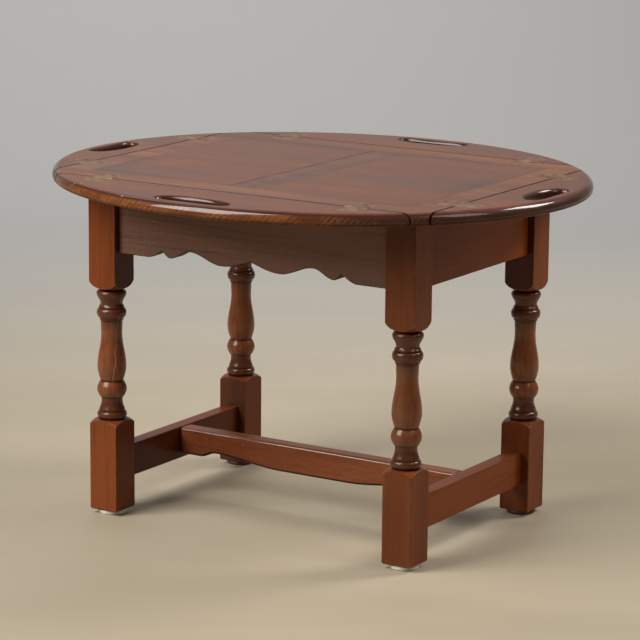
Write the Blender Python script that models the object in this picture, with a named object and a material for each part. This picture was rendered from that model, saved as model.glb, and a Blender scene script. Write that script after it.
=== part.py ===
"""Oval butler tray table: a loose tray with four folding leaves on a turned-leg stand.

Units are metres, +Z is up, X runs along the long side and the shaped apron faces -Y.
The floor is z = 0 and the origin lies under the middle of the tray.
"""
import math

import bmesh
import bpy
from mathutils import Matrix, Vector

# Fits
GAP = 0.0003
TENON_CLEARANCE = 0.0003

# Tray
TABLE_HEIGHT = 0.500
TRAY_LENGTH = 0.784
TRAY_WIDTH = 0.698
BOARD_THICK = 0.018
EDGE_ROUND = 0.008
END_LEAF_WIDTH = 0.087
SIDE_LEAF_WIDTH = 0.112
JOINT_GAP = 0.0030

# Finger slots in the leaves
END_SLOT_LENGTH = 0.100
SIDE_SLOT_LENGTH = 0.112
SLOT_WIDTH = 0.031
SLOT_RAIL = 0.016
SLOT_BOW = 0.006
SLOT_ROUND = 0.006
SLOT_POWER = 2.8

# Hinges
HINGE_WIDTH = 0.035
HINGE_REACH = 0.032
HINGE_CORNER = 0.012
HINGE_INSET = 0.083
PLATE_THICK = 0.0016
AXIS_DEPTH = 0.0012
BARREL_RADIUS = 0.0019
PIN_RADIUS = 0.0009
PIN_CLEARANCE = 0.0003
KNUCKLE_LENGTH = 0.0114

# Legs
LEG_SIDE = 0.046
LEG_SPACING_X = 0.488
LEG_SPACING_Y = 0.331
FOOT_CHAMFER = 0.002

# Aprons and stretchers
APRON_DEPTH = 0.099
APRON_THICK = 0.020
APRON_SETBACK = 0.010
APRON_TENON_LENGTH = 0.018
APRON_TENON_THICK = 0.008
APRON_TENON_SHOULDER = 0.022
STRETCHER_TOP = 0.0945
STRETCHER_DEPTH = 0.0475
STRETCHER_THICK = 0.022
STRETCHER_TENON_LENGTH = 0.022
STRETCHER_TENON_THICK = 0.010
STRETCHER_TENON_SHOULDER = 0.008
MEDIAL_THICK = 0.026
MEDIAL_DEPTH = 0.0415
MEDIAL_TENON_LENGTH = 0.014

# Floor pads and their stems
PAD_RADIUS = 0.0205
PAD_THICK = 0.006
PAD_CHAMFER = 0.0015
STEM_RADIUS = 0.003
STEM_LENGTH = 0.014

# Corner blocks and tray battens
BLOCK_REACH = 0.045
BLOCK_HEIGHT = 0.030
BLOCK_DROP = 0.010
BLOCK_SCREW_SEAT = 0.010
BATTEN_PLAY = 0.012
BATTEN_WIDTH = 0.020
BATTEN_DEPTH = 0.024
BATTEN_END_PLAY = 0.004
BATTEN_SCREW_SPACING = 0.120
BATTEN_SCREW_SEAT = 0.012
SCREW_RADIUS = 0.0019
SCREW_HEAD = 0.0036
SCREW_HEAD_THICK = 0.0024
SCREW_BITE = 0.012

# Facets
LEG_SIDES = 16
OVAL_STEPS = 72
ROUND_STEPS = 3
SLOT_STEPS = 24
SCREW_SIDES = 8
BARREL_SIDES = 12
PAD_SIDES = 24

# Turned stretch of a leg, going up: height above the floor, radius, way the line bends, steps
TURNING = (
    (0.1395, 0.0150, "fall", 3),
    (0.1400, 0.0170, "line", 1),
    (0.1455, 0.0212, "rise", 2),
    (0.1510, 0.0172, "fall", 2),
    (0.1516, 0.0183, "line", 1),
    (0.1535, 0.0182, "line", 1),
    (0.1660, 0.0151, "swell", 2),
    (0.1712, 0.0156, "ease", 1),
    (0.1716, 0.0172, "line", 1),
    (0.1824, 0.0212, "swell", 3),
    (0.1942, 0.0170, "sink", 3),
    (0.1950, 0.0154, "line", 1),
    (0.1962, 0.0166, "line", 1),
    (0.2160, 0.0207, "swell", 3),
    (0.2630, 0.0150, "ease", 4),
    (0.2830, 0.0156, "ease", 1),
    (0.2836, 0.0172, "line", 1),
    (0.2868, 0.0172, "line", 1),
    (0.2938, 0.0211, "rise", 2),
    (0.3005, 0.0172, "fall", 2),
    (0.3010, 0.0182, "line", 1),
    (0.3030, 0.0178, "line", 1),
    (0.3072, 0.0158, "swell", 2),
    (0.3215, 0.0213, "ease", 3),
    (0.3270, 0.0160, "fall", 2),
    (0.3285, 0.0150, "line", 1),
)
LOWER_ARRIS = 0.1270
UPPER_ARRIS = 0.3475

# Lower edge of a long apron from its middle outwards: distance, height above the edge, bend, steps
SCALLOP = (
    (0.000, 0.0120, "line", 1),
    (0.048, 0.0005, "swell", 5),
    (0.101, 0.0145, "ease", 7),
    (0.134, 0.0020, "ease", 5),
    (0.147, 0.0115, "sink", 3),
    (0.172, 0.0000, "swell", 4),
)

# Lower edge of the middle stretcher from its middle outwards, height above the edge
BELLY = (
    (0.000, 0.0000, "line", 1),
    (0.056, 0.0000, "line", 1),
    (0.170, 0.0095, "ease", 6),
    (0.198, 0.0015, "ease", 4),
)

# Worked-out places
PANEL_LENGTH = TRAY_LENGTH - 2 * END_LEAF_WIDTH
PANEL_WIDTH = TRAY_WIDTH - 2 * SIDE_LEAF_WIDTH
TRAY_BOTTOM = TABLE_HEIGHT - BOARD_THICK
STAND_TOP = TRAY_BOTTOM - GAP
LEG_X = LEG_SPACING_X / 2
LEG_Y = LEG_SPACING_Y / 2
LEG_HALF = LEG_SIDE / 2
LEG_BOTTOM = PAD_THICK + GAP
APRON_BOTTOM = TRAY_BOTTOM - APRON_DEPTH
APRON_Y = LEG_Y + LEG_HALF - APRON_SETBACK - APRON_THICK / 2
APRON_X = LEG_X + LEG_HALF - APRON_SETBACK - APRON_THICK / 2
STRETCHER_BOTTOM = STRETCHER_TOP - STRETCHER_DEPTH
MEDIAL_BOTTOM = STRETCHER_TOP - MEDIAL_DEPTH
AXIS_HEIGHT = TABLE_HEIGHT - AXIS_DEPTH
PLATE_BOTTOM = TABLE_HEIGHT - PLATE_THICK
PLATE_START = BARREL_RADIUS + GAP + 0.0001
SIDES = {"front": 180, "rear": 0, "left": 90, "right": 270}
ENDS = {"left": -1, "right": 1}
FACES = {"front": -1, "rear": 1}


def clear_scene():
    for item in list(bpy.data.objects):
        bpy.data.objects.remove(item, do_unlink=True)


def make_material(name, color, roughness, metallic):
    material = bpy.data.materials.new(name)
    material.use_nodes = True
    shader = material.node_tree.nodes["Principled BSDF"]
    shader.inputs["Base Color"].default_value = (*color, 1.0)
    shader.inputs["Roughness"].default_value = roughness
    shader.inputs["Metallic"].default_value = metallic
    material.diffuse_color = (*color, 1.0)
    return material


def make_materials():
    return {
        "tray_wood": make_material("tray_wood", (0.150, 0.052, 0.026), 0.32, 0.0),
        "leaf_wood": make_material("leaf_wood", (0.135, 0.046, 0.023), 0.32, 0.0),
        "leg_wood": make_material("leg_wood", (0.165, 0.050, 0.020), 0.36, 0.0),
        "apron_wood": make_material("apron_wood", (0.120, 0.042, 0.022), 0.40, 0.0),
        "stretcher_wood": make_material("stretcher_wood", (0.140, 0.044, 0.020), 0.38, 0.0),
        "inner_wood": make_material("inner_wood", (0.330, 0.200, 0.110), 0.70, 0.0),
        "brass": make_material("brass", (0.330, 0.210, 0.085), 0.42, 1.0),
        "steel": make_material("steel", (0.420, 0.410, 0.400), 0.40, 1.0),
        "pad_plastic": make_material("pad_plastic", (0.780, 0.770, 0.740), 0.50, 0.0),
    }


def add_object(name, shape, material):
    """One named object from a list of points and faces, with its faces turned outwards."""
    item = temporary(shape, name)
    item.data.materials.append(material)
    item.data.shade_smooth()
    item.data.set_sharp_from_angle(angle=math.radians(30))
    return item


def temporary(shape, name="temporary"):
    mesh = bpy.data.meshes.new(name)
    mesh.from_pydata([tuple(point) for point in shape[0]], [], shape[1])
    builder = bmesh.new()
    builder.from_mesh(mesh)
    bmesh.ops.recalc_face_normals(builder, faces=builder.faces)
    builder.to_mesh(mesh)
    builder.free()
    item = bpy.data.objects.new(name, mesh)
    bpy.context.scene.collection.objects.link(item)
    return item


def combine(body, tool, operation):
    """The body with the tool cut from it, joined to it or kept in common with it."""
    base = temporary(body)
    other = temporary(tool)
    modifier = base.modifiers.new("combine", "BOOLEAN")
    modifier.operation = operation
    modifier.solver = "EXACT"
    modifier.object = other
    graph = bpy.context.evaluated_depsgraph_get()
    result = base.evaluated_get(graph).data
    points = [tuple(vertex.co) for vertex in result.vertices]
    faces = [tuple(face.vertices) for face in result.polygons]
    for item in (base, other):
        mesh = item.data
        bpy.data.objects.remove(item, do_unlink=True)
        bpy.data.meshes.remove(mesh)
    return points, faces


def cut(body, tool):
    return combine(body, tool, "DIFFERENCE")


def fuse(body, tool):
    return combine(body, tool, "UNION")


def group(shapes):
    points = []
    faces = []
    for shape in shapes:
        start = len(points)
        points.extend(shape[0])
        faces.extend(tuple(index + start for index in face) for face in shape[1])
    return points, faces


def move(shape, matrix):
    return [tuple(matrix @ Vector(point)) for point in shape[0]], shape[1]


def shift(shape, x, y, z):
    return move(shape, Matrix.Translation((x, y, z)))


def skin(rings):
    """A closed solid through rings of equally many points."""
    count = len(rings[0])
    points = [point for ring in rings for point in ring]
    faces = [tuple(range(count)), tuple(range(len(points) - count, len(points)))]
    for level in range(len(rings) - 1):
        low = level * count
        for step in range(count):
            after = (step + 1) % count
            faces.append((low + step, low + after, low + count + after, low + count + step))
    return points, faces


def box(x_span, y_span, z_span):
    rings = []
    for z in sorted(z_span):
        rings.append([(x_span[0], y_span[0], z), (x_span[1], y_span[0], z),
                      (x_span[1], y_span[1], z), (x_span[0], y_span[1], z)])
    return skin(rings)


def grow(spans, clearance):
    return [(min(span) - clearance, max(span) + clearance) for span in spans]


def prism(outline, low, high):
    return skin([[(x, y, low) for x, y in outline], [(x, y, high) for x, y in outline]])


def circle(radius, sides, turn=0.0):
    angles = [2 * math.pi * step / sides + turn for step in range(sides)]
    return [(radius * math.cos(angle), radius * math.sin(angle)) for angle in angles]


def turned(profile, sides):
    """A turned solid on the Z axis from radius and height pairs."""
    return skin([[(x, y, z) for x, y in circle(radius, sides)] for radius, z in profile])


def bend(start, end, way, steps):
    """Points after start and up to end, on a line that bends in the named way."""
    length = end[0] - start[0]
    rise = end[1] - start[1]
    points = []
    for step in range(1, steps + 1):
        part = step / steps
        angle = math.pi / 2 * part
        along = part
        across = part
        if way == "rise":
            along = 1 - math.cos(angle)
            across = math.sin(angle)
        if way == "fall":
            along = math.sin(angle)
            across = 1 - math.cos(angle)
        if way == "ease":
            across = (1 - math.cos(math.pi * part)) / 2
        if way == "swell":
            across = math.sin(angle)
        if way == "sink":
            across = 1 - math.cos(angle)
        points.append((start[0] + length * along, start[1] + rise * across))
    return points


def trace(stations):
    """All points of a line given by stations of place, height, bend and steps."""
    points = [stations[0][:2]]
    for place, height, way, steps in stations[1:]:
        points.extend(bend(points[-1], (place, height), way, steps))
    return points


def leg_ring(radius, z):
    ring = []
    for step in range(LEG_SIDES):
        angle = math.pi / 4 + 2 * math.pi * step / LEG_SIDES
        flat = LEG_HALF / max(abs(math.cos(angle)), abs(math.sin(angle)))
        reach = min(radius, flat)
        ring.append((reach * math.cos(angle), reach * math.sin(angle), z))
    return ring


def leg_blank():
    corner = LEG_HALF * math.sqrt(2)
    arris = corner + 0.001
    turned_part = trace(((LOWER_ARRIS, arris, "line", 1),) + TURNING + ((UPPER_ARRIS, arris, "rise", 3),))
    rings = [leg_ring(corner, LEG_BOTTOM + FOOT_CHAMFER)]
    rings += [leg_ring(radius, z) for z, radius in turned_part]
    rings.append(leg_ring(corner, STAND_TOP))
    share = 1 - FOOT_CHAMFER / LEG_HALF
    foot = [(x * share, y * share, LEG_BOTTOM) for x, y, z in rings[0]]
    return skin([foot] + rings)


def apron_tenon_height():
    return APRON_BOTTOM + APRON_TENON_SHOULDER, STAND_TOP - APRON_TENON_SHOULDER


def long_apron_tenon(face, end):
    y = FACES[face] * APRON_Y
    inner = LEG_X - LEG_HALF
    x_span = (ENDS[end] * (inner - 0.002), ENDS[end] * (inner + APRON_TENON_LENGTH))
    return x_span, (y - APRON_TENON_THICK / 2, y + APRON_TENON_THICK / 2), apron_tenon_height()


def end_apron_tenon(end, face):
    x = ENDS[end] * APRON_X
    inner = LEG_Y - LEG_HALF
    y_span = (FACES[face] * (inner - 0.002), FACES[face] * (inner + APRON_TENON_LENGTH))
    return (x - APRON_TENON_THICK / 2, x + APRON_TENON_THICK / 2), y_span, apron_tenon_height()


def stretcher_tenon(end, face):
    x = ENDS[end] * LEG_X
    inner = LEG_Y - LEG_HALF
    y_span = (FACES[face] * (inner - 0.002), FACES[face] * (inner + STRETCHER_TENON_LENGTH))
    z_span = (STRETCHER_BOTTOM + STRETCHER_TENON_SHOULDER, STRETCHER_TOP - STRETCHER_TENON_SHOULDER)
    return (x - STRETCHER_TENON_THICK / 2, x + STRETCHER_TENON_THICK / 2), y_span, z_span


def medial_tenon(end):
    inner = LEG_X - STRETCHER_THICK / 2
    x_span = (ENDS[end] * (inner - 0.002), ENDS[end] * (inner + MEDIAL_TENON_LENGTH))
    z_span = (MEDIAL_BOTTOM + STRETCHER_TENON_SHOULDER, STRETCHER_TOP - STRETCHER_TENON_SHOULDER)
    return x_span, (-STRETCHER_TENON_THICK / 2, STRETCHER_TENON_THICK / 2), z_span


def build_legs(materials):
    for face in FACES:
        for end in ENDS:
            place = (ENDS[end] * LEG_X, FACES[face] * LEG_Y)
            leg = shift(leg_blank(), *place, 0)
            mortises = [box(*grow(long_apron_tenon(face, end), TENON_CLEARANCE)),
                        box(*grow(end_apron_tenon(end, face), TENON_CLEARANCE)),
                        box(*grow(stretcher_tenon(end, face), TENON_CLEARANCE)),
                        shift(pad_stem(GAP), *place, 0),
                        move(screw_bore(-0.02, block_screw_reach() + 2 * GAP), block_screw_matrix(end, face))]
            leg = cut(leg, group(mortises))
            add_object(f"leg_{face}_{end}", leg, materials["leg_wood"])


def pad_stem(clearance):
    outline = circle(STEM_RADIUS + clearance, SCREW_SIDES)
    return prism(outline, PAD_THICK / 2, PAD_THICK + STEM_LENGTH + clearance)


def build_pads(materials):
    profile = ((PAD_RADIUS - PAD_CHAMFER, 0), (PAD_RADIUS, PAD_CHAMFER), (PAD_RADIUS, PAD_THICK))
    for face in FACES:
        for end in ENDS:
            pad = fuse(turned(profile, PAD_SIDES), pad_stem(0))
            pad = shift(pad, ENDS[end] * LEG_X, FACES[face] * LEG_Y, 0)
            add_object(f"pad_{face}_{end}", pad, materials["pad_plastic"])


def shaped_rail(stations, half_length, low, high, thick):
    """A rail along X whose lower edge follows the stations, the same both ways from its middle."""
    edge = trace(stations)
    edge.append((half_length, stations[-1][1]))
    mirrored = [(-x, z) for x, z in reversed(edge[1:])]
    outline = mirrored + edge + [(half_length, high - low), (-half_length, high - low)]
    rail = prism(outline, -thick / 2, thick / 2)
    return [(x, y, z + low) for x, z, y in rail[0]], rail[1]


def build_aprons(materials):
    half_length = LEG_X - LEG_HALF - GAP
    for face in FACES:
        apron = shaped_rail(SCALLOP, half_length, APRON_BOTTOM, STAND_TOP, APRON_THICK)
        apron = shift(apron, 0, FACES[face] * APRON_Y, 0)
        apron = fuse(apron, group([box(*long_apron_tenon(face, end)) for end in ENDS]))
        add_object(f"apron_{face}", apron, materials["apron_wood"])
    half_length = LEG_Y - LEG_HALF - GAP
    for end in ENDS:
        x = ENDS[end] * APRON_X
        apron = box((x - APRON_THICK / 2, x + APRON_THICK / 2), (-half_length, half_length), (APRON_BOTTOM, STAND_TOP))
        apron = fuse(apron, group([box(*end_apron_tenon(end, face)) for face in FACES]))
        add_object(f"apron_{end}", apron, materials["apron_wood"])


def build_stretchers(materials):
    half_length = LEG_Y - LEG_HALF - GAP
    for end in ENDS:
        x = ENDS[end] * LEG_X
        rail = box((x - STRETCHER_THICK / 2, x + STRETCHER_THICK / 2), (-half_length, half_length),
                   (STRETCHER_BOTTOM, STRETCHER_TOP))
        rail = fuse(rail, group([box(*stretcher_tenon(end, face)) for face in FACES]))
        rail = cut(rail, box(*grow(medial_tenon(end), TENON_CLEARANCE)))
        add_object(f"stretcher_{end}", rail, materials["stretcher_wood"])
    half_length = LEG_X - STRETCHER_THICK / 2 - GAP
    rail = shaped_rail(BELLY, half_length, MEDIAL_BOTTOM, STRETCHER_TOP, MEDIAL_THICK)
    rail = fuse(rail, group([box(*medial_tenon(end)) for end in ENDS]))
    add_object("stretcher_middle", rail, materials["stretcher_wood"])


def block_corner():
    """Inner leg corner and apron faces that a corner block at +X +Y is fitted to."""
    return (LEG_X - LEG_HALF - GAP, LEG_Y - LEG_HALF - GAP,
            APRON_X - APRON_THICK / 2 - GAP, APRON_Y - APRON_THICK / 2 - GAP)


def block_screw_matrix(end, face):
    """Puts a screw that points along +Z on the corner's diagonal, with its head seated at the origin."""
    leg_x, leg_y, apron_x, apron_y = block_corner()
    middle = STAND_TOP - BLOCK_DROP - BLOCK_HEIGHT / 2
    back = BLOCK_SCREW_SEAT / math.sqrt(2)
    place = Vector((ENDS[end] * (leg_x - back), FACES[face] * (leg_y - back), middle))
    turn = Vector((0, 0, 1)).rotation_difference(Vector((ENDS[end], FACES[face], 0))).to_matrix().to_4x4()
    return Matrix.Translation(place) @ turn


def block_screw_reach():
    return BLOCK_SCREW_SEAT + SCREW_BITE


def wood_screw(seat):
    tip = seat + GAP + SCREW_BITE
    return turned(((SCREW_HEAD, -SCREW_HEAD_THICK), (SCREW_HEAD, 0), (SCREW_RADIUS, 0),
                   (SCREW_RADIUS, tip - 0.003), (0.0004, tip)), SCREW_SIDES)


def screw_bore(low, high, extra=GAP):
    return turned(((SCREW_RADIUS + extra, low), (SCREW_RADIUS + extra, high)), SCREW_SIDES)


def screw_well(depth):
    return turned(((SCREW_HEAD + 2 * GAP, -depth), (SCREW_HEAD + 2 * GAP, -GAP)), SCREW_SIDES)


def build_corner_blocks(materials):
    leg_x, leg_y, apron_x, apron_y = block_corner()
    outline = [(leg_x - BLOCK_REACH, apron_y), (leg_x, apron_y), (leg_x, leg_y), (apron_x, leg_y),
               (apron_x, leg_y - BLOCK_REACH)]
    top = STAND_TOP - BLOCK_DROP
    for face in FACES:
        for end in ENDS:
            corner = [(ENDS[end] * x, FACES[face] * y) for x, y in outline]
            block = prism(corner, top - BLOCK_HEIGHT, top)
            place = block_screw_matrix(end, face)
            block = cut(block, move(screw_bore(-0.002, 0.03), place))
            block = cut(block, move(screw_well(0.04), place))
            add_object(f"corner_block_{face}_{end}", block, materials["inner_wood"])
            screw = seated(wood_screw(BLOCK_SCREW_SEAT), place)
            add_object(f"corner_screw_{face}_{end}", screw, materials["steel"])


def seated(screw, place):
    """Seats a screw head one gap clear of its seat."""
    return move(shift(screw, 0, 0, -2 * GAP), place)


def batten_spans(end):
    outer = APRON_X - APRON_THICK / 2 - BATTEN_PLAY
    x_span = sorted((ENDS[end] * outer, ENDS[end] * (outer - BATTEN_WIDTH)))
    half = LEG_Y - LEG_HALF - GAP - BLOCK_REACH - BATTEN_END_PLAY
    return x_span, (-half, half), (STAND_TOP - BATTEN_DEPTH, STAND_TOP)


def batten_screw_places():
    places = {}
    for end in ENDS:
        x = sum(batten_spans(end)[0]) / 2
        for face in FACES:
            y = FACES[face] * BATTEN_SCREW_SPACING / 2
            places[end, face] = Matrix.Translation((x, y, STAND_TOP - BATTEN_SCREW_SEAT))
    return places


def build_battens(materials):
    places = batten_screw_places()
    for end in ENDS:
        own = [places[end, face] for face in FACES]
        batten = box(*batten_spans(end))
        batten = cut(batten, group([move(screw_bore(-0.002, 0.03), place) for place in own]))
        batten = cut(batten, group([move(screw_well(0.04), place) for place in own]))
        add_object(f"tray_batten_{end}", batten, materials["inner_wood"])
    for (end, face), place in places.items():
        add_object(f"batten_screw_{end}_{face}", seated(wood_screw(BATTEN_SCREW_SEAT), place), materials["steel"])


def oval_ring(inset, z):
    ring = []
    for step in range(OVAL_STEPS):
        angle = 2 * math.pi * step / OVAL_STEPS
        x = TRAY_LENGTH / 2 * math.cos(angle)
        y = TRAY_WIDTH / 2 * math.sin(angle)
        normal = Vector((math.cos(angle) / TRAY_LENGTH, math.sin(angle) / TRAY_WIDTH)).normalized()
        ring.append((x - inset * normal.x, y - inset * normal.y, z))
    return ring


def oval_board():
    """The whole oval with a rounded rim, before it is sawn into panel and leaves."""
    rings = []
    for step in range(ROUND_STEPS + 1):
        angle = math.pi / 2 * step / ROUND_STEPS
        inset = EDGE_ROUND * (1 - math.sin(angle))
        drop = EDGE_ROUND * (1 - math.cos(angle))
        rings.append(oval_ring(inset, TRAY_BOTTOM + drop))
    upper = [oval_ring(EDGE_ROUND * (1 - math.sin(angle)), TABLE_HEIGHT - EDGE_ROUND * (1 - math.cos(angle)))
             for angle in (math.pi / 2 * step / ROUND_STEPS for step in range(ROUND_STEPS, -1, -1))]
    return skin(rings + upper)


def joint_distance(side):
    return PANEL_LENGTH / 2 if side in ENDS else PANEL_WIDTH / 2


def rim_distance(side):
    return TRAY_LENGTH / 2 if side in ENDS else TRAY_WIDTH / 2


def side_matrix(side):
    """From a side's own frame, with X along its joint and Y outwards, to the table's frame."""
    turn = Matrix.Rotation(math.radians(SIDES[side]), 4, "Z")
    return turn @ Matrix.Translation((0, joint_distance(side), 0))


def joint_half_length(side):
    """Half the length of a leaf's sawn edge, which ends on the oval's rim."""
    across = joint_distance(side) / rim_distance(side)
    along = TRAY_WIDTH if side in ENDS else TRAY_LENGTH
    return along / 2 * math.sqrt(1 - across ** 2)


def hinge_places(side):
    reach = joint_half_length(side) - HINGE_INSET
    return [Matrix.Translation((step * reach, 0, 0)) for step in (-1, 1)]


def slot_outline(length, offset, middle):
    """A kidney shape whose hollow side is the grip next to the rim."""
    points = []
    for step in range(SLOT_STEPS):
        angle = 2 * math.pi * step / SLOT_STEPS
        along = math.copysign(abs(math.cos(angle)) ** (2 / SLOT_POWER), math.cos(angle))
        across = math.copysign(abs(math.sin(angle)) ** (2 / SLOT_POWER), math.sin(angle))
        bow = SLOT_BOW * (1 - along ** 2)
        points.append((along * (length / 2 + offset), middle - bow + across * (SLOT_WIDTH / 2 + offset)))
    return points


def slot_cutter(side):
    """A finger slot's inside, flared to round both of its edges over."""
    length = END_SLOT_LENGTH if side in ENDS else SIDE_SLOT_LENGTH
    middle = rim_distance(side) - joint_distance(side) - SLOT_RAIL - SLOT_WIDTH / 2
    levels = [(TRAY_BOTTOM - 0.002, SLOT_ROUND)]
    for step in range(ROUND_STEPS + 1):
        angle = math.pi / 2 * step / ROUND_STEPS
        levels.append((TRAY_BOTTOM + SLOT_ROUND * (1 - math.cos(angle)), SLOT_ROUND * (1 - math.sin(angle))))
    levels += [(TABLE_HEIGHT + TRAY_BOTTOM - z, offset) for z, offset in reversed(levels)]
    rings = [[(x, y, z) for x, y in slot_outline(length, offset, middle)] for z, offset in levels]
    return skin(rings)


def plate_outline(start, clearance=0.0):
    """A hinge plate seen from above: square at the joint and rounded at its far corners."""
    half = HINGE_WIDTH / 2 + clearance
    reach = HINGE_REACH + clearance
    radius = HINGE_CORNER + clearance
    points = [(-half, start), (half, start)]
    for center, first in (((half - radius, reach - radius), 0), ((radius - half, reach - radius), 90)):
        for step in range(ROUND_STEPS + 1):
            angle = math.radians(first + 90 * step / ROUND_STEPS)
            points.append((center[0] + radius * math.cos(angle), center[1] + radius * math.sin(angle)))
    return points


def along_joint(profile, low, high):
    """A prism whose outline is given across the joint and up, running along the joint."""
    solid = prism(profile, low, high)
    return [(z, x, y) for x, y, z in solid[0]], solid[1]


def barrel(radius, low, high):
    outline = [(x, y + AXIS_HEIGHT) for x, y in circle(radius, BARREL_SIDES, math.pi / BARREL_SIDES)]
    return along_joint(outline, low, high)


def knuckle(low, high):
    neck = box((low, high), (0, PLATE_START + 0.001), (PLATE_BOTTOM, TABLE_HEIGHT))
    return fuse(barrel(BARREL_RADIUS, low, high), neck)


def hinge_plate(knuckle_spans):
    plate = prism(plate_outline(PLATE_START), PLATE_BOTTOM, TABLE_HEIGHT)
    for low, high in knuckle_spans:
        plate = fuse(plate, knuckle(low, high))
    return cut(plate, barrel(PIN_RADIUS + PIN_CLEARANCE, -HINGE_WIDTH, HINGE_WIDTH))


def leaf_plate():
    return hinge_plate([(-KNUCKLE_LENGTH / 2, KNUCKLE_LENGTH / 2)])


def panel_plate():
    inner = KNUCKLE_LENGTH / 2 + GAP
    outer = HINGE_WIDTH / 2
    plate = hinge_plate([(-outer, -inner), (inner, outer)])
    return move(plate, Matrix.Rotation(math.pi, 4, "Z"))


def recess(outward):
    """Room in a board's top for one hinge plate, on the leaf side or on the panel side."""
    room = prism(plate_outline(-0.001, GAP), PLATE_BOTTOM - GAP, TABLE_HEIGHT + 0.002)
    notch_reach = BARREL_RADIUS + 2 * GAP
    notch = box((-HINGE_WIDTH / 2 - GAP, HINGE_WIDTH / 2 + GAP), (-0.001, notch_reach),
                (AXIS_HEIGHT - BARREL_RADIUS - GAP, TABLE_HEIGHT + 0.002))
    room = fuse(room, notch)
    return room if outward else move(room, Matrix.Rotation(math.pi, 4, "Z"))


def build_leaves(materials):
    oval = oval_board()
    for side in SIDES:
        sawn = box((-TRAY_LENGTH, TRAY_LENGTH), (JOINT_GAP / 2, TRAY_LENGTH), (0, 1))
        leaf = combine(oval, move(sawn, side_matrix(side)), "INTERSECT")
        leaf = cut(leaf, move(slot_cutter(side), side_matrix(side)))
        places = [side_matrix(side) @ place for place in hinge_places(side)]
        leaf = cut(leaf, group([move(recess(True), place) for place in places]))
        add_object(f"leaf_{side}", leaf, materials["leaf_wood"])
        for number, place in enumerate(places, 1):
            add_object(f"hinge_{side}_{number}_leaf_plate", move(leaf_plate(), place), materials["brass"])


def build_tray(materials):
    half_length = PANEL_LENGTH / 2 - JOINT_GAP / 2
    half_width = PANEL_WIDTH / 2 - JOINT_GAP / 2
    panel = combine(oval_board(), box((-half_length, half_length), (-half_width, half_width), (0, 1)), "INTERSECT")
    places = [side_matrix(side) @ place for side in SIDES for place in hinge_places(side)]
    panel = cut(panel, group([move(recess(False), place) for place in places]))
    bore = screw_bore(BATTEN_SCREW_SEAT - 0.002, BATTEN_SCREW_SEAT + SCREW_BITE + 3 * GAP)
    panel = cut(panel, group([move(bore, place) for place in batten_screw_places().values()]))
    add_object("tray_board", panel, materials["tray_wood"])
    pin_half = HINGE_WIDTH / 2 - GAP
    pin = barrel(PIN_RADIUS, -pin_half, pin_half)
    for side in SIDES:
        for number, hinge_place in enumerate(hinge_places(side), 1):
            place = side_matrix(side) @ hinge_place
            add_object(f"hinge_{side}_{number}_panel_plate", move(panel_plate(), place), materials["brass"])
            add_object(f"hinge_{side}_{number}_pin", move(pin, place), materials["steel"])


def main():
    clear_scene()
    materials = make_materials()
    build_legs(materials)
    build_pads(materials)
    build_aprons(materials)
    build_stretchers(materials)
    build_corner_blocks(materials)
    build_battens(materials)
    build_leaves(materials)
    build_tray(materials)


main()
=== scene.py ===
"""Looks of the oval butler tray table: fine shapes, finishes, floor, light and camera."""
import math

import bmesh
import bpy
from mathutils import Matrix, Vector


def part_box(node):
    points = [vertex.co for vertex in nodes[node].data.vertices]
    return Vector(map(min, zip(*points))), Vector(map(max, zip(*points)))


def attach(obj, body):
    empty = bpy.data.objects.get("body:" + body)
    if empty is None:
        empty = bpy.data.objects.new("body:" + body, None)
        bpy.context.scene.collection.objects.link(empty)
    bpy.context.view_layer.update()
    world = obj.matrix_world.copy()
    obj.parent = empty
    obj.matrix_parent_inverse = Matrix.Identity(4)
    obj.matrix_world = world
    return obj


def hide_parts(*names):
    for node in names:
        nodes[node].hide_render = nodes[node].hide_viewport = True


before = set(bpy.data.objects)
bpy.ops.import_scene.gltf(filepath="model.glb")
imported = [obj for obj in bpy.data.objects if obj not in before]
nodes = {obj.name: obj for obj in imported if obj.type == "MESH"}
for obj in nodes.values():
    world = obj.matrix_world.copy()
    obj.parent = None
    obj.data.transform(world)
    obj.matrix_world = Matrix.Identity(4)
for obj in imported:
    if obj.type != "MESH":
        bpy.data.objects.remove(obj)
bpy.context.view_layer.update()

# Sizes read from the frame
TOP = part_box("tray_board")[1][2]
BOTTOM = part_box("tray_board")[0][2]
HALF_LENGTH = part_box("leaf_right")[1][0]
HALF_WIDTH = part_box("leaf_rear")[1][1]
PANEL_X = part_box("tray_board")[1][0]
PANEL_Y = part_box("tray_board")[1][1]
LEAF_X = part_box("leaf_right")[0][0]
LEAF_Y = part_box("leaf_rear")[0][1]
JOINT_X = (PANEL_X + LEAF_X) / 2
JOINT_Y = (PANEL_Y + LEAF_Y) / 2
JOINT_HALF = (LEAF_X - PANEL_X) / 2
LEG_LOW, LEG_HIGH = (Vector(corner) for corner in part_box("leg_front_right"))
LEG_HALF = (LEG_HIGH.x - LEG_LOW.x) / 2

# Fine shapes of the tray, in metres
RIM_TOP_ROUND = 0.0108
RIM_LOW_ROUND = 0.0068
END_SLOT_LENGTH = 0.100
SIDE_SLOT_LENGTH = 0.112
SLOT_WIDTH = 0.031
SLOT_RAIL = 0.016
SLOT_BOW = 0.006
SLOT_ROUND = 0.006
SLOT_POWER = 2.8
HINGE_WIDTH = 0.035
HINGE_REACH = 0.032
HINGE_CORNER = 0.012
PLATE_THICK = 0.0016
FIT = 0.0003
NOTCH_REACH = 0.0025
NOTCH_DEPTH = 0.0034

# How far a cutter reaches past a board's face, and past the middle of a joint
PAST_FACE = 0.002
PAST_JOINT = 0.001

# Lip in the joints: overlap with the board, room beside the leaf, distance from the rim
LIP_ROOT = 0.0010
LIP_GAP = 0.0005
LIP_END = 0.0085

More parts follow.
